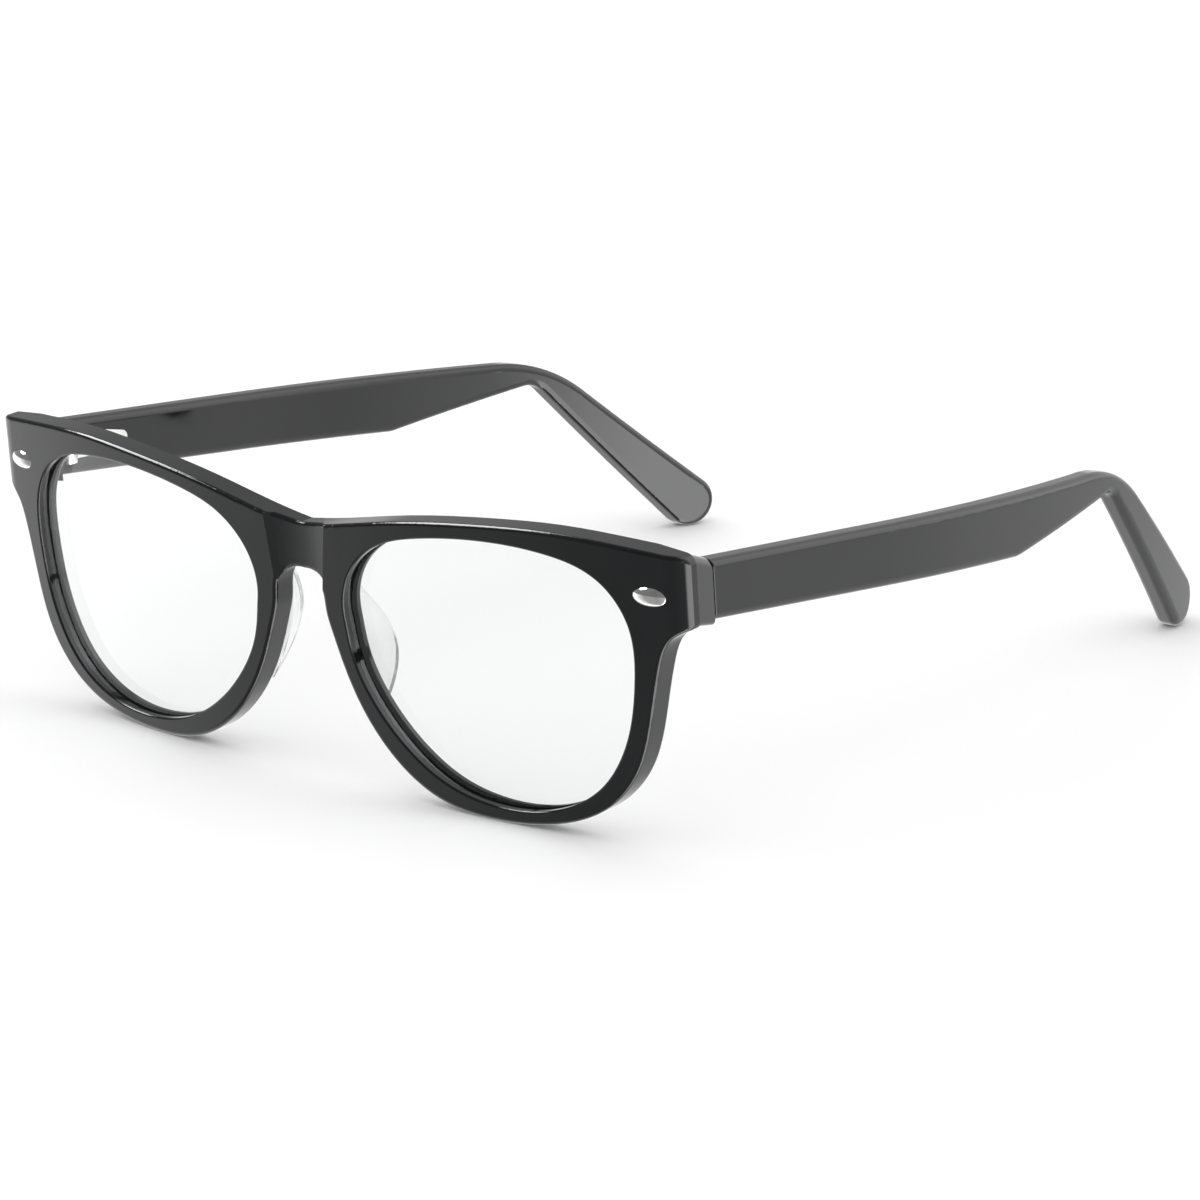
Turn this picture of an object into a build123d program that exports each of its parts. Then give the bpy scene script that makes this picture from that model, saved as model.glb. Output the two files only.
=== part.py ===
"""Acetate eyeglasses: front, lenses, nose pads, five-barrel hinges and two folding temples.

Millimetres. +Z is up, the front faces -Y, the temples run to +Y and +X is the wearer's left.
The glasses stand open on a table at Z = 0, on the two rims and the two temple tips.
"""
from build123d import *
from math import asin, cos, degrees, radians, sin, tan
import os

os.makedirs("parts", exist_ok=True)

# ---- where the front stands ---------------------------------------------------------------
front_y = -73.3            # the front's middle, so that the whole length is centred on Y = 0
front_tilt = 3.65          # degrees that the front's top leans forward
lean_sin = sin(radians(front_tilt))
lean_cos = cos(radians(front_tilt))
front_drop = 0.108         # from the outline's own zero down to the rims' lowest point
front_origin = (0, front_y, -front_drop)
# Elevation: X across, Y up the front, normal forwards.
elevation = Plane(origin=front_origin, x_dir=(1, 0, 0), z_dir=(0, -lean_cos, -lean_sin))
# Plan: X across, Y backwards, normal up the front.
plan = Plane(origin=front_origin, x_dir=(1, 0, 0), z_dir=(0, -lean_sin, lean_cos))
# Temple side: X backwards from the front's middle, Y up from the table.
temple_side = Plane(origin=(0, front_y, 0), x_dir=(0, 1, 0), z_dir=(1, 0, 0))
temple_plan = Plane(origin=(0, front_y, 0), x_dir=(1, 0, 0), z_dir=(0, 0, 1))
backwards = Axis((0, 0, 0), plan.y_dir)

# ---- front --------------------------------------------------------------------------------
front_half_width = 70.3
front_height = 45.3
rim_depth = 4.0            # front face to back face
bow_start = 8              # the front is flat this far each side of the middle
bow_radius = 328           # and then bows backwards
bow_turn = 11.4            # degrees of bow, past the end of the front
end_start = 66.9           # from here the face turns back more tightly, to the end piece
end_radius = 5
end_turn = 60              # degrees
face_round = 0.6           # edges of the front face
opening_round = 0.3
rear_round = 0.5
bridge_inset = 1.25        # the middle of the bridge lies this far behind the rims' faces
bridge_hollow = 30         # radius of the hollow across it
bridge_side = 0.9          # how far the hollow's sides slope in, for each millimetre of depth
bridge_foot = 4.6          # half width of the inset at its foot, 27 up the front
bridge_head = 6.4          # half width of the inset at its head, 41 up the front

# ---- end pieces, which return to the temples ------------------------------------------------
return_start = 8.8         # the back of the front, at its ends
return_inside = 65.0
return_sunk = 0.01
return_from = (70.29, 33.41, 43.99)  # outer face, foot and top, up the front
return_to = (69.2, 32.1, 41.9)
joint_y = 13.5             # where end piece and temple meet, back from the front's middle
joint_gap = 0.1
joint_round = 0.25

# ---- lenses -------------------------------------------------------------------------------
lens_setback = 1.1         # rim's face to lens' front
lens_thickness = 1.8
groove_depth = 0.65
groove_play = 0.04

# ---- nose pads ----------------------------------------------------------------------------
pad_x = 8.5                # where the pads' outline has its zero, across the rims' back
pad_reach = 5.2            # how far the pads stand out behind the rims
pad_splay = 27             # degrees that the pads spread, going backwards
pad_glue = 0.01            # between the pads and the rims' back
pad_round = 0.4

# ---- decorative rivets --------------------------------------------------------------------
rivet_x = 64.6
rivet_height = 37.95
rivet_long = 2.65          # half length at the front's face
rivet_swell = 3.2          # half length of the whole spheroid
rivet_sunk = 0.95          # depth of the spheroid's centre
rivet_seat = 0.3
rivet_pin_radius = 0.6
rivet_pin_pitch = 1.2
rivet_pin_lengths = (5.0, 2.4)
press_play = 0.02

# ---- hinges -------------------------------------------------------------------------------
hinge_x = 63.4
hinge_foot = 35.4          # foot of the barrel, up the front
knuckle = 1.2              # height of one knuckle
knuckle_count = 5          # three on the front, two on the temple
knuckle_play = 0.05
barrel_radius = 1.4
barrel_clearance = 0.15
leaf_thickness = 1.0
leaf_sink = 0.5            # how deep each leaf lies in the acetate
screw_radius = 0.70
screw_head_radius = 1.0
screw_head_height = 0.6
slot_width = 0.3
turning_fit = 0.05
thread_fit = 0.015
hinge_height = knuckle * knuckle_count

# ---- temples ------------------------------------------------------------------------------
temple_thickness = 4.0
temple_outer = 69.2
temple_straight_to = 50    # the temple curves inwards from here, back from the front's middle
temple_bow_radius = 308
temple_round = 1.2
tip_centre = (144.9, 4.3)
tip_radius = 4.3
tip_top_slope = 40         # degrees
tip_foot_slope = 46.2
bend_top_radius = 30
bend_foot_radius = 4.5
kink_radius = 8
temple_pin_radius = 0.5
temple_pin_head = 0.9
core_width = 1.0
core_height = 1.8
core_bend = 12
core_path = ((28, 36.5), (80, 31.9), (113.2, 32.0), (141, 8.0))
temple_pin_length = 3.0
temple_pin_head_height = 0.4


def bow_point(depth, turn):
    """Plan point on the bow, `depth` behind the front's face and `turn` degrees round."""
    reach = bow_radius - depth
    return (bow_start + reach * sin(radians(turn)), bow_radius - reach * cos(radians(turn)))


face_turn = degrees(asin((end_start - bow_start) / bow_radius))


def end_point(depth, turn):
    """Plan point on the tighter curve at the end of the front."""
    middle_x, middle_y = bow_point(end_radius, face_turn)
    reach = end_radius - depth
    return (middle_x + reach * sin(radians(turn)), middle_y - reach * cos(radians(turn)))


def half_sheet(near, far):
    """Left half of a curved sheet between two depths behind the front's face."""
    with BuildPart(mode=Mode.PRIVATE) as sheet:
        with BuildSketch(plan.offset(-5)):
            with BuildLine():
                Line((0, near), (bow_start, near))
                ThreePointArc((bow_start, near), bow_point(near, face_turn / 2), bow_point(near, face_turn))
                ThreePointArc(bow_point(near, face_turn), end_point(near, (face_turn + end_turn) / 2),
                              end_point(near, end_turn))
                Line(end_point(near, end_turn), bow_point(far, bow_turn))
                ThreePointArc(bow_point(far, bow_turn), bow_point(far, bow_turn / 2), (bow_start, far))
                Line((bow_start, far), (0, far))
                Line((0, far), (0, near))
            make_face()
        extrude(amount=front_height + 10)
    return sheet.part


def half_outline():
    """Left half of the front's outer outline, drawn flat."""
    with BuildSketch(mode=Mode.PRIVATE) as outline:
        with BuildLine():
            Spline((0, 39.3), (6.5, 40.3), (18, 42.5), (36, 44.7), (48, 45.3), (60, 44.8), (70.3, 44.0))
            Line((70.3, 44.0), (70.3, 33.4))
            Spline((70.3, 33.4), (66.8, 31.1), (65.3, 27.2), (63.8, 20.5), (60.8, 11.2), (54.5, 4.5),
                   (45, 0.9),
                   (35, 0), (25.5, 1.2), (16.5, 6.4), (9.6, 15.2), (6, 23.8), (5.1, 26.9), (4.75, 29.6),
                   (3.7, 31.4), (2.0, 32.1), (0, 32.2))
            Line((0, 32.2), (0, 39.3))
        make_face()
        corners = outline.vertices().group_by(Axis.X)[-1].sort_by(Axis.Y)
        fillet(corners[-1], radius=1.8)
        fillet(outline.vertices().group_by(Axis.X)[-1].sort_by(Axis.Y)[0], radius=1.0)
    return outline.sketch


def lens_outline(grow):
    """Left lens opening, drawn flat and made larger all round by `grow`."""
    with BuildLine(mode=Mode.PRIVATE) as loop:
        Spline((9.1, 26.5), (10.3, 33), (15.3, 38), (24, 40.9), (36, 42.3), (47.5, 41.9), (56.3, 39),
               (60.7, 33), (61.2, 25), (59.4, 16), (54, 7.6), (45.5, 3.2), (36, 2.3), (26.5, 4.3),
               (19.7, 8.3), (14.2, 13.7), (10.4, 20.2), periodic=True)
    course = loop.edge()
    steps = [step / 40 for step in range(40)]
    points = [course @ step + (course % step).rotate(Axis.Z, 90) * grow for step in steps]
    with BuildSketch(mode=Mode.PRIVATE) as outline:
        with BuildLine():
            Spline(*points, periodic=True)
        make_face()
    return outline.sketch


def depth_of(point):
    """How far a point lies behind the bowed face of the front."""
    local = plan.to_local_coords(point)
    if abs(local.X) <= bow_start:
        return local.Y
    centre_distance = ((abs(local.X) - bow_start) ** 2 + (bow_radius - local.Y) ** 2) ** 0.5
    return bow_radius - centre_distance


def on_sheet(edge, depth):
    """True where an edge lies wholly on the curved surface `depth` behind the face."""
    return all(abs(depth_of(edge @ at) - depth) < 0.01 for at in (0.05, 0.35, 0.65, 0.95))


def bridge_block():
    """Space that the bridge takes, widening towards its front, so that its sides slope."""
    slant = (bridge_head - bridge_foot) / 14
    ahead = 2
    shift = bridge_side * ahead
    with BuildPart(mode=Mode.PRIVATE) as block:
        with BuildSketch(elevation.offset(ahead)):
            with BuildLine():
                Polyline((-15, 20), (bridge_foot - 7 * slant + shift, 20),
                         (bridge_head + 9 * slant + shift, 50), (-15, 50), close=True)
            make_face()
        extrude(amount=15, dir=plan.y_dir - plan.x_dir * bridge_side)
    return block.part


def on_hollow(edge):
    """True where an edge lies wholly on the bridge's hollow face."""
    for at in (0.05, 0.5, 0.95):
        point = plan.to_local_coords(edge @ at)
        reach = (point.X ** 2 + (point.Y - bridge_inset + bridge_hollow) ** 2) ** 0.5
        if abs(reach - bridge_hollow) > 0.01:
            return False
    return True


def return_section(depth, outer, foot, top):
    """Section through the left end piece, this far back from the front's middle."""
    with BuildSketch(elevation.offset(-depth), mode=Mode.PRIVATE) as section:
        with BuildLine():
            Polyline((return_inside, foot), (outer, foot), (outer, top), (return_inside, top),
                     close=True)
        make_face()
        fillet(section.vertices().group_by(Axis.X)[-1].sort_by(Axis.Y)[0], radius=1.0)
        fillet(section.vertices().group_by(Axis.X)[-1].sort_by(Axis.Y)[-1], radius=1.8)
    return section.sketch


def lens_blank(play):
    """Left lens, or with `play` the room for it in the rim."""
    with BuildPart(mode=Mode.PRIVATE) as blank:
        with BuildSketch(elevation):
            add(lens_outline(groove_depth + play))
        extrude(amount=40, both=True)
        add(half_sheet(lens_setback - play, lens_setback + lens_thickness + play), mode=Mode.INTERSECT)
    return blank.part


# ---- decorative rivet ---------------------------------------------------------------------
rivet_turn = asin((rivet_x - bow_start) / bow_radius)
rivet_depth = bow_radius * (1 - cos(rivet_turn))
rivet_face = Plane(
    origin=plan.from_local_coords((rivet_x, rivet_depth, rivet_height)),
    x_dir=plan.x_dir * cos(rivet_turn) + plan.y_dir * sin(rivet_turn),
    z_dir=plan.x_dir * sin(rivet_turn) - plan.y_dir * cos(rivet_turn),
)


def rivet_body(play):
    """Left decorative rivet with its two pins, or with `play` the room for it in the front."""
    shrink = (1 - (rivet_long / rivet_swell) ** 2) ** 0.5
    swell_tall = rivet_sunk / shrink
    middle = rivet_face.offset(-rivet_sunk)
    lengthwise = Plane(origin=middle.origin, x_dir=middle.x_dir, z_dir=middle.y_dir)
    with BuildPart(mode=Mode.PRIVATE) as rivet:
        with BuildSketch(lengthwise):
            with BuildLine():
                Line((-rivet_swell - play, 0), (rivet_swell + play, 0))
                EllipticalCenterArc((0, 0), rivet_swell + play, swell_tall + play,
                                    start_angle=0, arc_size=180)
            make_face()
        revolve(axis=Axis(middle.origin, middle.x_dir))
        with BuildSketch(rivet_face.offset(-rivet_seat - play)):
            Rectangle(20, 20)
        extrude(amount=10, mode=Mode.INTERSECT)
        for place, length in zip((-rivet_pin_pitch, rivet_pin_pitch), rivet_pin_lengths):
            with BuildSketch(rivet_face.offset(-rivet_seat)):
                with Locations((place, 0)):
                    Circle(rivet_pin_radius + play)
            extrude(amount=-(length - rivet_seat + play))
    return rivet.part


# ---- hinge pieces -------------------------------------------------------------------------
def barrel(radius, low, high):
    """Upright cylinder on the left hinge's axis, between two heights above its foot."""
    with BuildPart(mode=Mode.PRIVATE) as piece:
        with BuildSketch(plan.offset(hinge_foot + low)):
            with Locations((hinge_x, joint_y)):
                Circle(radius)
        extrude(amount=high - low)
    return piece.part


def upright_box(x_near, x_far, y_near, y_far, low, high):
    """Box along the front's own axes, its heights measured from the hinge's foot."""
    with BuildPart(mode=Mode.PRIVATE) as piece:
        with BuildSketch(plan.offset(hinge_foot + low)):
            with Locations(((x_near + x_far) / 2, (y_near + y_far) / 2)):
                Rectangle(x_far - x_near, y_far - y_near)
        extrude(amount=high - low)
    return piece.part


front_knuckles = range(0, knuckle_count, 2)
temple_knuckles = range(1, knuckle_count, 2)
leaf_outer = return_inside + leaf_sink
leaf_inner = leaf_outer - leaf_thickness
front_leaf_start = 61.3
front_leaf_face = 8.1      # sunk a little in the back of the front


def front_leaf(play):
    """L-shaped leaf on the back of the front and the return's inner wall."""
    with BuildPart(mode=Mode.PRIVATE) as leaf:
        add(upright_box(front_leaf_start - play, leaf_outer + play, front_leaf_face - play,
                        front_leaf_face + 1.2 + play, -play, hinge_height + play))
        add(upright_box(leaf_inner - play, leaf_outer + play, front_leaf_face, joint_y - 0.3 + play,
                        -play, hinge_height + play))
    return leaf.part


temple_inner = temple_outer - temple_thickness
temple_leaf_outer = temple_inner + leaf_sink
temple_leaf_inner = temple_leaf_outer - leaf_thickness
temple_leaf_outline = ((9, 36.1), (9, 41.0), (13, 41.0), (25.0, 38.4), (24.7, 35.6))
temple_leaf_start = joint_y + 0.2
temple_pin_places = ((17.0, 38.0), (22.0, 37.2))


def temple_leaf(play):
    """Flat leaf on the inner face of the left temple."""
    with BuildPart(mode=Mode.PRIVATE) as leaf:
        with BuildSketch(temple_side.offset(temple_leaf_inner - play)) as outline:
            with BuildLine():
                Polyline(*temple_leaf_outline, close=True)
            make_face()
            fillet(outline.vertices().sort_by(Axis.X)[-2:], radius=1.2)
            if play:
                offset(amount=play)
        extrude(amount=leaf_thickness + 2 * play)
        add(upright_box(60, 70, 5, temple_leaf_start - play, -10, 20), mode=Mode.SUBTRACT)
    return leaf.part


# ---- temple -------------------------------------------------------------------------------
def temple_band(inner, outer):
    """Upright curved band between two distances inside the temple's outer face."""
    turn = 22
    middle_x = temple_outer - temple_bow_radius

    def at(inset, angle):
        reach = temple_bow_radius - inset
        return (middle_x + reach * cos(radians(angle)), temple_straight_to + reach * sin(radians(angle)))

    with BuildPart(mode=Mode.PRIVATE) as band:
        with BuildSketch(temple_plan.offset(-5)):
            with BuildLine():
                Line((temple_outer - outer, 0), (temple_outer - outer, temple_straight_to))
                ThreePointArc(at(outer, 0), at(outer, turn / 2), at(outer, turn))
                Line(at(outer, turn), at(inner, turn))
                ThreePointArc(at(inner, turn), at(inner, turn / 2), at(inner, 0))
                Line((temple_outer - inner, temple_straight_to), (temple_outer - inner, 0))
                Line((temple_outer - inner, 0), (temple_outer - outer, 0))
            make_face()
        extrude(amount=60)
    return band.part


def temple_outline():
    """Side view of the temple, Y up from the table."""
    top = radians(tip_top_slope)
    foot = radians(tip_foot_slope)
    tip_y, tip_z = tip_centre
    top_touch = (tip_y + tip_radius * sin(top), tip_z + tip_radius * cos(top))
    foot_touch = (tip_y - tip_radius * sin(foot), tip_z - tip_radius * cos(foot))
    end = (tip_y + tip_radius * cos(radians(43)), tip_z - tip_radius * sin(radians(43)))
    bend_top = (116.6, top_touch[1] + tan(top) * (top_touch[0] - 116.6))
    bend_foot = (114.2, foot_touch[1] + tan(foot) * (foot_touch[0] - 114.2))
    kink = (84, 26.7)
    with BuildSketch(mode=Mode.PRIVATE) as outline:
        with BuildLine():
            Line((5, 42.85), bend_top)
            Line(bend_top, top_touch)
            ThreePointArc(top_touch, end, foot_touch)
            Line(foot_touch, bend_foot)
            Line(bend_foot, kink)
            Line(kink, (5, 34.1))
            Line((5, 34.1), (5, 42.85))
        make_face()
        fillet(outline.vertices().sort_by_distance(bend_top)[0], radius=bend_top_radius)
        fillet(outline.vertices().sort_by_distance(bend_foot)[0], radius=bend_foot_radius)
        fillet(outline.vertices().sort_by_distance(kink)[0], radius=kink_radius)
    return outline.sketch


def temple_blank(inner, outer):
    """Left temple's outline, between two depths inside its outer face."""
    with BuildPart(mode=Mode.PRIVATE) as blank:
        with BuildSketch(temple_side):
            add(temple_outline())
        extrude(amount=front_half_width + 10)
        add(temple_band(inner, outer), mode=Mode.INTERSECT)
    return blank.part


def is_long_edge(edge):
    """True for the edges that run along the temple, not across it."""
    return edge.geom_type != GeomType.LINE or edge.length > 10


def is_joint_edge(edge):
    """True for the edges of the temple's front end."""
    reach = joint_y + joint_gap / 2
    return all(abs(plan.to_local_coords(edge @ at).Y - reach) < 0.01 for at in (0, 0.5, 1))


def temple_core(play):
    """Flat wire inside the left temple, or with `play` the channel for it."""
    with BuildPart(mode=Mode.PRIVATE) as core:
        with BuildSketch(temple_side):
            with BuildLine():
                FilletPolyline(*core_path, radius=core_bend)
            trace(line_width=core_height + 2 * play)
        extrude(amount=front_half_width + 10)
        middle = temple_thickness / 2
        add(temple_band(middle - core_width / 2 - play, middle + core_width / 2 + play),
            mode=Mode.INTERSECT)
    return core.part


def temple_pin(place, play):
    """Headed pin through the left temple's leaf, or with `play` the hole for it."""
    with BuildPart(mode=Mode.PRIVATE) as pin:
        with BuildSketch(temple_side.offset(temple_leaf_inner)):
            with Locations(place):
                Circle(temple_pin_radius + play)
        extrude(amount=temple_pin_length + play)
        if not play:
            with BuildSketch(temple_side.offset(temple_leaf_inner)):
                with Locations(place):
                    Circle(temple_pin_head)
            extrude(amount=-temple_pin_head_height)
            fillet(pin.edges().group_by(Axis.X)[0], radius=0.25)
    return pin.part


# ---- nose pad -----------------------------------------------------------------------------
pad_turn = radians(pad_splay)
pad_across = plan.x_dir * cos(pad_turn) - plan.y_dir * sin(pad_turn)
pad_behind = plan.y_dir * cos(pad_turn) + plan.x_dir * sin(pad_turn)
pad_root = plan.from_local_coords((pad_x, rim_depth, 0))
pad_outline = Plane(origin=pad_root, x_dir=pad_across, z_dir=-pad_behind)
pad_profile = Plane(origin=pad_root, x_dir=pad_behind, z_dir=pad_across)


def nose_pad():
    """Left nose pad, a thin splayed fin behind the rim that dies away at both ends."""
    with BuildPart(mode=Mode.PRIVATE) as pad:
        with BuildSketch(pad_outline):
            with BuildLine():
                Spline((-2.9, 29.2), (-2.4, 23.9), (-0.6, 18.0), (2.4, 12.2))
                ThreePointArc((2.4, 12.2), (3.6, 12.0), (3.6, 13.4))
                Spline((3.6, 13.4), (1.3, 19.0), (0.0, 24.4), (-0.4, 29.4))
                ThreePointArc((-0.4, 29.4), (-1.7, 30.6), (-2.9, 29.2))
            make_face()
        extrude(amount=40, both=True)
        with BuildSketch(pad_profile):
            with BuildLine():
                Spline((-2.5, 33.5), (2.4, 27.5), (pad_reach, 20.5), (2.4, 13.5), (-2.5, 9.5))
                Line((-2.5, 9.5), (-2.5, 33.5))
            make_face()
        extrude(amount=20, both=True, mode=Mode.INTERSECT)
        rear = pad.faces().filter_by(lambda face: face.area > 5).sort_by(backwards)[-1]
        fillet(rear.edges(), radius=pad_round)
        add(half_sheet(rim_depth + pad_glue, 20), mode=Mode.INTERSECT)
    return pad.part


# ---- front frame --------------------------------------------------------------------------
with BuildPart() as front_half:
    with BuildSketch(elevation):
        add(half_outline())
    extrude(amount=40, both=True)
    add(half_sheet(0, rim_depth), mode=Mode.INTERSECT)
    with BuildSketch(elevation.offset(-return_start)):
        Rectangle(200, 200)
    extrude(amount=-20, mode=Mode.SUBTRACT)
    add(return_section(return_start - return_sunk, *return_from))
    add(return_section(joint_y - joint_gap / 2, *return_to))
    loft(ruled=True)
    fillet(front_half.edges().group_by(backwards)[-1], radius=joint_round)
    face_edges = front_half.edges().filter_by(lambda edge: on_sheet(edge, 0))
    fillet(face_edges.filter_by(lambda edge: edge.geom_type != GeomType.LINE), radius=face_round)
    with BuildSketch(elevation):
        add(lens_outline(0))
    extrude(amount=40, both=True, mode=Mode.SUBTRACT)
    fillet(front_half.edges().filter_by(lambda edge: edge.length > 120).sort_by(backwards)[0],
           radius=opening_round)
    fillet(front_half.edges().filter_by(lambda edge: edge.length > 120).sort_by(backwards)[-1],
           radius=rear_round)
    rear_edges = front_half.edges().filter_by(lambda edge: on_sheet(edge, rim_depth))
    fillet(rear_edges.filter_by(lambda edge: edge.geom_type != GeomType.LINE).sort_by(Axis.Z)[:2],
           radius=rear_round)
    add(bridge_block(), mode=Mode.SUBTRACT)

with BuildPart() as bridge_half:
    with BuildSketch(elevation):
        add(half_outline())
    extrude(amount=40, both=True)
    add(half_sheet(0, rim_depth), mode=Mode.INTERSECT)
    with BuildSketch(plan.offset(10)):
        with Locations((0, bridge_inset - bridge_hollow)):
            Circle(bridge_hollow)
    extrude(amount=45, mode=Mode.SUBTRACT)
    with BuildSketch(elevation):
        with Locations((0, 30)):
            Rectangle(19, 30)
    extrude(amount=40, both=True, mode=Mode.INTERSECT)
    hollow_edges = bridge_half.edges().filter_by(on_hollow)
    fillet(hollow_edges.filter_by(lambda edge: edge.geom_type != GeomType.LINE), radius=face_round)
    add(bridge_block(), mode=Mode.INTERSECT)

with BuildPart() as front_frame:
    add(front_half.part)
    add(bridge_half.part)
    add(lens_blank(groove_play), mode=Mode.SUBTRACT)
    add(rivet_body(press_play), mode=Mode.SUBTRACT)
    add(front_leaf(press_play), mode=Mode.SUBTRACT)
    mirror(about=Plane.YZ)
front_frame.part.label = "front_frame"

# ---- lenses and nose pads -----------------------------------------------------------------
with BuildPart() as lens_left:
    add(lens_blank(0))
lens_left.part.label = "lens_left"

with BuildPart() as nose_pad_left:
    add(nose_pad())
nose_pad_left.part.label = "nose_pad_left"

# ---- rivets -------------------------------------------------------------------------------
with BuildPart() as front_rivet_left:
    add(rivet_body(0))
front_rivet_left.part.label = "front_rivet_left"

# ---- hinges -------------------------------------------------------------------------------
with BuildPart() as front_hinge_left:
    add(front_leaf(0))
    for level in temple_knuckles:
        add(barrel(barrel_radius + barrel_clearance, level * knuckle - knuckle_play,
                   (level + 1) * knuckle + knuckle_play), mode=Mode.SUBTRACT)
    for level in front_knuckles:
        low = level * knuckle
        high = low + knuckle
        add(barrel(barrel_radius, low, high))
        add(upright_box(hinge_x, leaf_outer, joint_y - barrel_radius, joint_y - 0.3, low, high))
    add(barrel(screw_radius + thread_fit, -1, knuckle), mode=Mode.SUBTRACT)
    add(barrel(screw_radius + turning_fit, knuckle, hinge_height + 1), mode=Mode.SUBTRACT)
    add(barrel(screw_head_radius + turning_fit, hinge_height - screw_head_height, hinge_height + 1),
        mode=Mode.SUBTRACT)
    add(rivet_body(press_play), mode=Mode.SUBTRACT)
front_hinge_left.part.label = "front_hinge_left"

with BuildPart() as temple_hinge_left:
    add(temple_leaf(0))
    for level in front_knuckles:
        add(barrel(barrel_radius + barrel_clearance, level * knuckle - knuckle_play,
                   (level + 1) * knuckle + knuckle_play), mode=Mode.SUBTRACT)
    for level in temple_knuckles:
        low = level * knuckle + knuckle_play
        high = (level + 1) * knuckle - knuckle_play
        add(barrel(barrel_radius, low, high))
        add(upright_box(hinge_x, temple_leaf_outer, joint_y + 0.3, joint_y + barrel_radius, low, high))
    add(barrel(screw_radius + turning_fit, -1, hinge_height + 1), mode=Mode.SUBTRACT)
    for place in temple_pin_places:
        add(temple_pin(place, press_play), mode=Mode.SUBTRACT)
temple_hinge_left.part.label = "temple_hinge_left"

with BuildPart() as hinge_screw_left:
    add(barrel(screw_radius, 0.2, hinge_height - screw_head_height))
    add(barrel(screw_head_radius, hinge_height - screw_head_height, hinge_height))
    add(upright_box(hinge_x - 2, hinge_x + 2, joint_y - slot_width / 2, joint_y + slot_width / 2,
                    hinge_height - screw_head_height / 2, hinge_height + 1), mode=Mode.SUBTRACT)
hinge_screw_left.part.label = "hinge_screw_left"

# ---- temples ------------------------------------------------------------------------------
with BuildPart() as temple_left:
    add(temple_blank(0, temple_thickness))
    add(upright_box(50, 80, -30, joint_y + joint_gap / 2, -50, 30), mode=Mode.SUBTRACT)
    fillet(temple_left.edges().filter_by(is_long_edge), radius=temple_round)
    fillet(temple_left.edges().filter_by(is_joint_edge), radius=joint_round)
    add(temple_leaf(press_play), mode=Mode.SUBTRACT)
    add(temple_core(press_play), mode=Mode.SUBTRACT)
    for place in temple_pin_places:
        add(temple_pin(place, press_play), mode=Mode.SUBTRACT)
temple_left.part.label = "temple_left"

with BuildPart() as temple_core_left:
    add(temple_core(0))
temple_core_left.part.label = "temple_core_left"

with BuildPart() as temple_pin_left_front:
    add(temple_pin(temple_pin_places[0], 0))
temple_pin_left_front.part.label = "temple_pin_left_front"

with BuildPart() as temple_pin_left_rear:
    add(temple_pin(temple_pin_places[1], 0))
temple_pin_left_rear.part.label = "temple_pin_left_rear"

# ---- the right side mirrors the left -------------------------------------------------------
export_step(front_frame.part, "parts/front_frame.step")
left_pieces = (lens_left, nose_pad_left, front_rivet_left, front_hinge_left, temple_hinge_left,
               hinge_screw_left, temple_left, temple_core_left, temple_pin_left_front,
               temple_pin_left_rear)
for left in left_pieces:
    name = left.part.label
    export_step(left.part, f"parts/{name}.step")
    with BuildPart() as right:
        mirror(left.part, about=Plane.YZ)
    right.part.label = name.replace("left", "right")
    export_step(right.part, f"parts/{right.part.label}.step")
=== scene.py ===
import math

import bpy
from mathutils import Matrix, Vector

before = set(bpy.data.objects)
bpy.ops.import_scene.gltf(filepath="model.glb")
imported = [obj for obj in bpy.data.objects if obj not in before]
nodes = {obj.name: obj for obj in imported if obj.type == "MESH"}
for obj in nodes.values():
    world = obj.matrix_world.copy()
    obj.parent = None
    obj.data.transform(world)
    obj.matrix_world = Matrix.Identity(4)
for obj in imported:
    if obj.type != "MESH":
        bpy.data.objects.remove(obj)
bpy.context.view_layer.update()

CAMERA_AZIMUTH = 42.03
CAMERA_ELEVATION = 15.65
CAMERA_ROLL = -1.12
CAMERA_DISTANCE = 0.7843
CAMERA_TARGET = Vector((0, -0.00924, 0.01293))
LENS_MM = 150
SENSOR_MM = 36
CAMERA_NEAR = 0.05
CAMERA_FAR = 20

ACETATE_IOR = 1.47
DEMO_LENS_IOR = 1.4
PAD_IOR = 1.3
FLOOR_SIZE = 6
FLOOR_DROP = 0.00002       # keeps the floor just clear of the feet


# ---- node helpers -------------------------------------------------------------------------
def new_material(name):
    """An empty node material with its output, its Principled shader and its links."""
    material = bpy.data.materials.new(name)
    material.use_nodes = True
    tree = material.node_tree
    tree.nodes.clear()
    output = tree.nodes.new("ShaderNodeOutputMaterial")
    shader = tree.nodes.new("ShaderNodeBsdfPrincipled")
    tree.links.new(shader.outputs["BSDF"], output.inputs["Surface"])
    return material, tree, shader, output


def noise(tree, scale, detail=4, roughness=0.5, stretch=(1, 1, 1)):
    """Noise in the object's own coordinates, in metres."""
    place = tree.nodes.new("ShaderNodeTexCoord")
    mapping = tree.nodes.new("ShaderNodeMapping")
    mapping.inputs["Scale"].default_value = stretch
    texture = tree.nodes.new("ShaderNodeTexNoise")
    texture.inputs["Scale"].default_value = scale
    texture.inputs["Detail"].default_value = detail
    texture.inputs["Roughness"].default_value = roughness
    tree.links.new(place.outputs["Object"], mapping.inputs["Vector"])
    tree.links.new(mapping.outputs["Vector"], texture.inputs["Vector"])
    return texture.outputs["Fac"]


def spread(tree, value, low, high, start=0.35, end=0.65):
    """Maps a noise value to a range."""
    node = tree.nodes.new("ShaderNodeMapRange")
    node.inputs["From Min"].default_value = start
    node.inputs["From Max"].default_value = end
    node.inputs["To Min"].default_value = low
    node.inputs["To Max"].default_value = high
    tree.links.new(value, node.inputs["Value"])
    return node.outputs["Result"]


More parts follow.
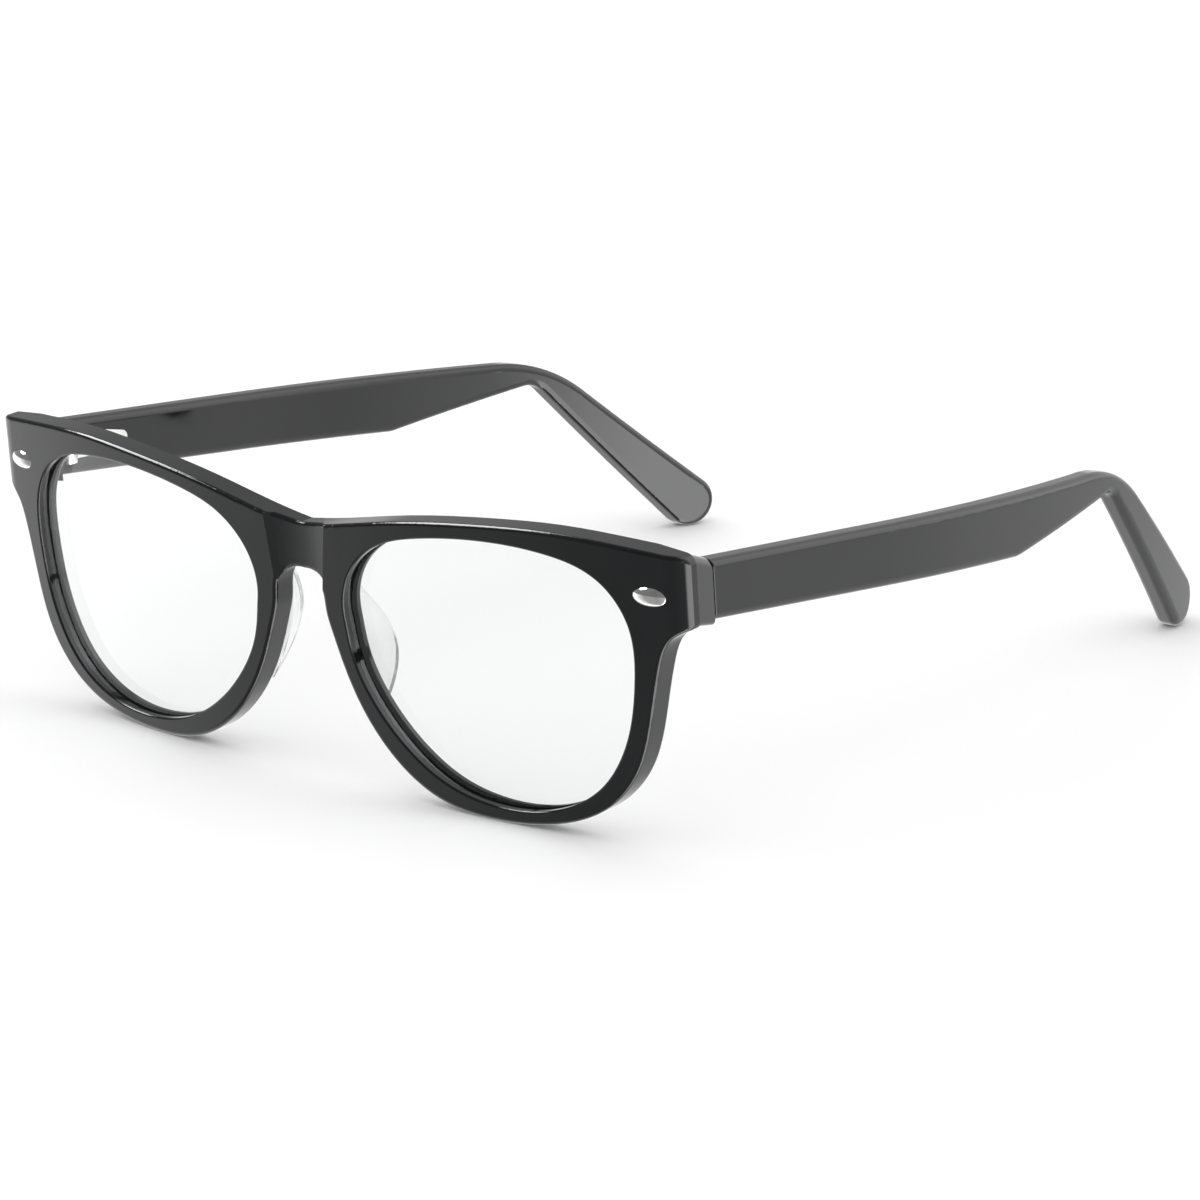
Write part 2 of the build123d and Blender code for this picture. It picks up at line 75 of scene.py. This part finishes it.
def bump(tree, shader, value, strength, distance):
    """Small waves in a shader's normal."""
    node = tree.nodes.new("ShaderNodeBump")
    node.inputs["Strength"].default_value = strength
    node.inputs["Distance"].default_value = distance
    tree.links.new(value, node.inputs["Height"])
    tree.links.new(node.outputs["Normal"], shader.inputs["Normal"])


def two_tone(tree, shader, value, dark, light):
    """Base colour that wanders between two tones."""
    ramp = tree.nodes.new("ShaderNodeValToRGB")
    ramp.color_ramp.elements[0].position = 0.3
    ramp.color_ramp.elements[0].color = (*dark, 1)
    ramp.color_ramp.elements[1].position = 0.7
    ramp.color_ramp.elements[1].color = (*light, 1)
    tree.links.new(value, ramp.inputs["Fac"])
    tree.links.new(ramp.outputs["Color"], shader.inputs["Base Color"])


# ---- materials ----------------------------------------------------------------------------
def black_acetate():
    """Polished cellulose acetate: deep black, with the soft waves of hand polishing."""
    material, tree, shader, output = new_material("black_acetate")
    two_tone(tree, shader, noise(tree, 45, 3), (0.0045, 0.005, 0.0056), (0.0075, 0.008, 0.0088))
    tree.links.new(spread(tree, noise(tree, 260, 5), 0.035, 0.075), shader.inputs["Roughness"])
    bump(tree, shader, noise(tree, 70, 2), 0.05, 0.0002)
    shader.inputs["IOR"].default_value = ACETATE_IOR
    return material


def clear_lens():
    """Demo lens: clear, reflecting as a thin polished sheet does, from outside and from inside."""
    material, tree, shader, output = new_material("clear_lens")
    clear = tree.nodes.new("ShaderNodeBsdfTransparent")
    clear.inputs["Color"].default_value = (0.988, 0.992, 0.992, 1)
    mirror = tree.nodes.new("ShaderNodeBsdfGlossy")
    tree.links.new(spread(tree, noise(tree, 90, 4), 0.012, 0.03), mirror.inputs["Roughness"])
    geometry = tree.nodes.new("ShaderNodeNewGeometry")
    fresnel = tree.nodes.new("ShaderNodeFresnel")
    index = spread(tree, geometry.outputs["Backfacing"], DEMO_LENS_IOR, 1 / DEMO_LENS_IOR, 0, 1)
    tree.links.new(index, fresnel.inputs["IOR"])
    mix = tree.nodes.new("ShaderNodeMixShader")
    tree.links.new(fresnel.outputs["Fac"], mix.inputs["Fac"])
    tree.links.new(clear.outputs["BSDF"], mix.inputs[1])
    tree.links.new(mirror.outputs["BSDF"], mix.inputs[2])
    tree.links.new(mix.outputs["Shader"], output.inputs["Surface"])
    tree.nodes.remove(shader)
    return material


def clear_acetate():
    """Nose pads: clear acetate, a little milky inside."""
    material, tree, shader, output = new_material("clear_acetate")
    two_tone(tree, shader, noise(tree, 300, 3), (0.93, 0.94, 0.935), (0.97, 0.975, 0.97))
    tree.links.new(spread(tree, noise(tree, 400, 4), 0.05, 0.12), shader.inputs["Roughness"])
    shader.inputs["Transmission Weight"].default_value = 0.85
    shader.inputs["IOR"].default_value = PAD_IOR
    return material


def polished_silver():
    """Rivet shields: bright polished metal with fine buffing marks along them."""
    material, tree, shader, output = new_material("polished_silver")
    shader.inputs["Metallic"].default_value = 1
    two_tone(tree, shader, noise(tree, 900, 4), (0.82, 0.82, 0.81), (0.93, 0.93, 0.92))
    tree.links.new(spread(tree, noise(tree, 1200, 6, 0.6, (0.15, 1, 1)), 0.04, 0.14),
                   shader.inputs["Roughness"])
    bump(tree, shader, noise(tree, 1500, 4, 0.5, (0.1, 1, 1)), 0.04, 0.00005)
    return material


def brushed_metal(name, dark, light, rough):
    """Nickel-plated or drawn metal, with fine lines along its length."""
    material, tree, shader, output = new_material(name)
    shader.inputs["Metallic"].default_value = 1
    two_tone(tree, shader, noise(tree, 700, 5), dark, light)
    grain = noise(tree, 2500, 6, 0.65, (1, 0.08, 1))
    tree.links.new(spread(tree, grain, rough - 0.06, rough + 0.1), shader.inputs["Roughness"])
    bump(tree, shader, grain, 0.15, 0.00005)
    return material


acetate = black_acetate()
lens = clear_lens()
pad = clear_acetate()
silver = polished_silver()
nickel = brushed_metal("hinge_metal", (0.62, 0.62, 0.60), (0.80, 0.80, 0.78), 0.22)
steel = brushed_metal("screw_steel", (0.45, 0.45, 0.45), (0.66, 0.66, 0.65), 0.3)
wire = brushed_metal("core_wire", (0.5, 0.5, 0.49), (0.68, 0.68, 0.67), 0.35)
FINISHES = (
    ("front_rivet", silver),
    ("front_hinge", nickel),
    ("temple_hinge", nickel),
    ("temple_pin", nickel),
    ("hinge_screw", steel),
    ("temple_core", wire),
    ("temple", acetate),
    ("front_frame", acetate),
    ("nose_pad", pad),
    ("lens", lens),
)
for name, node in nodes.items():
    finish = next(material for start, material in FINISHES if name.startswith(start))
    node.data.materials.clear()
    node.data.materials.append(finish)


# ---- floor --------------------------------------------------------------------------------
def white_floor():
    """Pale matt paper under the glasses."""
    material, tree, shader, output = new_material("studio_floor")
    two_tone(tree, shader, noise(tree, 3, 2), (0.90, 0.90, 0.90), (0.92, 0.92, 0.92))
    shader.inputs["Roughness"].default_value = 0.6
    shader.inputs["Specular IOR Level"].default_value = 0.1
    return material


bpy.ops.mesh.primitive_plane_add(size=FLOOR_SIZE, location=(0, 0, -FLOOR_DROP))
floor = bpy.context.object
floor.name = "studio_floor"
floor.data.materials.append(white_floor())
floor.visible_glossy = False


# ---- studio light ---------------------------------------------------------------------------
# What polished surfaces mirror, by azimuth in degrees and brightness. First level with the table
# and below it, then above it.
AROUND = ((-180, 1.0), (-110, 1.2), (-72, 1.7), (-50, 0.9), (-28, 0.38), (15, 0.32), (54, 0.5),
          (62, 5.5), (106, 5.5), (116, 2.0), (126, 1.3), (150, 1.4), (180, 1.0))
ABOVE = ((-180, 1.4), (-165, 1.1), (-150, 0.8), (-138, 0.5), (-112, 0.3), (-60, 0.2), (0, 0.16),
         (56, 0.2), (90, 0.8), (120, 1.6), (142, 2.3), (162, 2.3), (180, 1.4))
# The softbox at the left, by azimuth and by the sine of the elevation.
SOFTBOX_AROUND = ((-180, 0), (-116, 0), (-110, 12), (-64, 12), (-56, 0), (180, 0))
SOFTBOX_RISE = ((0.0, 0), (0.56, 0), (0.61, 12), (0.78, 12), (0.82, 0), (1.0, 0))
BRIGHTEST = 12
BACKDROP = 1.2             # what the camera sees and what lights the floor, the same all round
ABOVE_FROM = 0.12          # sine of the elevation where AROUND has given way to ABOVE


def brightness(tree, value, steps, first, last):
    """A ramp over a value, as a share of the brightest step."""
    place = tree.nodes.new("ShaderNodeMapRange")
    place.inputs["From Min"].default_value = first
    place.inputs["From Max"].default_value = last
    ramp = tree.nodes.new("ShaderNodeValToRGB")
    elements = ramp.color_ramp.elements
    elements[-1].position = (steps[-1][0] - first) / (last - first)
    for at, bright in steps[1:-1]:
        elements.new((at - first) / (last - first))
    for element, (at, bright) in zip(elements, steps):
        element.color = (*(bright / BRIGHTEST,) * 3, 1)
    tree.links.new(value, place.inputs["Value"])
    tree.links.new(place.outputs["Result"], ramp.inputs["Fac"])
    return ramp.outputs["Color"]


def calculate(tree, operation, first, second=None):
    """A Math node's value, from sockets or numbers."""
    node = tree.nodes.new("ShaderNodeMath")
    node.operation = operation
    for socket, value in zip(node.inputs, (first, second)):
        if isinstance(value, (int, float)):
            socket.default_value = value
        elif value is not None:
            tree.links.new(value, socket)
    return node.outputs["Value"]


world = bpy.data.worlds.new("studio")
bpy.context.scene.world = world
world.use_nodes = True
tree = world.node_tree
background = tree.nodes["Background"]
ways = tree.nodes.new("ShaderNodeSeparateXYZ")
tree.links.new(tree.nodes.new("ShaderNodeTexCoord").outputs["Generated"], ways.inputs["Vector"])
forwards = calculate(tree, "MULTIPLY", ways.outputs["Y"], -1)
facing = calculate(tree, "ARCTAN2", ways.outputs["X"], forwards)
azimuths = calculate(tree, "DEGREES", facing)
around = brightness(tree, azimuths, AROUND, -180, 180)
above = brightness(tree, azimuths, ABOVE, -180, 180)
softbox = calculate(tree, "MULTIPLY", brightness(tree, azimuths, SOFTBOX_AROUND, -180, 180),
                    brightness(tree, ways.outputs["Z"], SOFTBOX_RISE, 0, 1))
rise = tree.nodes.new("ShaderNodeMapRange")
rise.inputs["From Min"].default_value = 0.0
rise.inputs["From Max"].default_value = ABOVE_FROM
tree.links.new(ways.outputs["Z"], rise.inputs["Value"])
mirrored = tree.nodes.new("ShaderNodeMix")
mirrored.data_type = "RGBA"
tree.links.new(rise.outputs["Result"], mirrored.inputs["Factor"])
tree.links.new(around, mirrored.inputs["A"])
tree.links.new(calculate(tree, "ADD", above, softbox), mirrored.inputs["B"])
rays = tree.nodes.new("ShaderNodeLightPath")
shown = tree.nodes.new("ShaderNodeMix")
shown.data_type = "RGBA"
shown.inputs["A"].default_value = (*(BACKDROP / BRIGHTEST,) * 3, 1)
tree.links.new(rays.outputs["Is Glossy Ray"], shown.inputs["Factor"])
tree.links.new(mirrored.outputs["Result"], shown.inputs["B"])
tree.links.new(shown.outputs["Result"], background.inputs["Color"])
background.inputs["Strength"].default_value = BRIGHTEST
bpy.context.scene.view_settings.view_transform = "Standard"

# ---- camera -------------------------------------------------------------------------------
azimuth = math.radians(CAMERA_AZIMUTH)
elevation = math.radians(CAMERA_ELEVATION)
roll = math.radians(CAMERA_ROLL)
back = Vector((math.sin(azimuth) * math.cos(elevation), -math.cos(azimuth) * math.cos(elevation),
               math.sin(elevation)))
level = Vector((0, 0, 1)).cross(back).normalized()
upward = back.cross(level)
across = level * math.cos(roll) + upward * math.sin(roll)
above = upward * math.cos(roll) - level * math.sin(roll)
camera_data = bpy.data.cameras.new("camera")
camera_data.lens = LENS_MM
camera_data.sensor_width = SENSOR_MM
camera_data.clip_start = CAMERA_NEAR
camera_data.clip_end = CAMERA_FAR
camera = bpy.data.objects.new("camera", camera_data)
turn = Matrix((across, above, back)).transposed().to_4x4()
camera.matrix_world = Matrix.Translation(CAMERA_TARGET + back * CAMERA_DISTANCE) @ turn
bpy.context.scene.collection.objects.link(camera)
bpy.context.scene.camera = camera
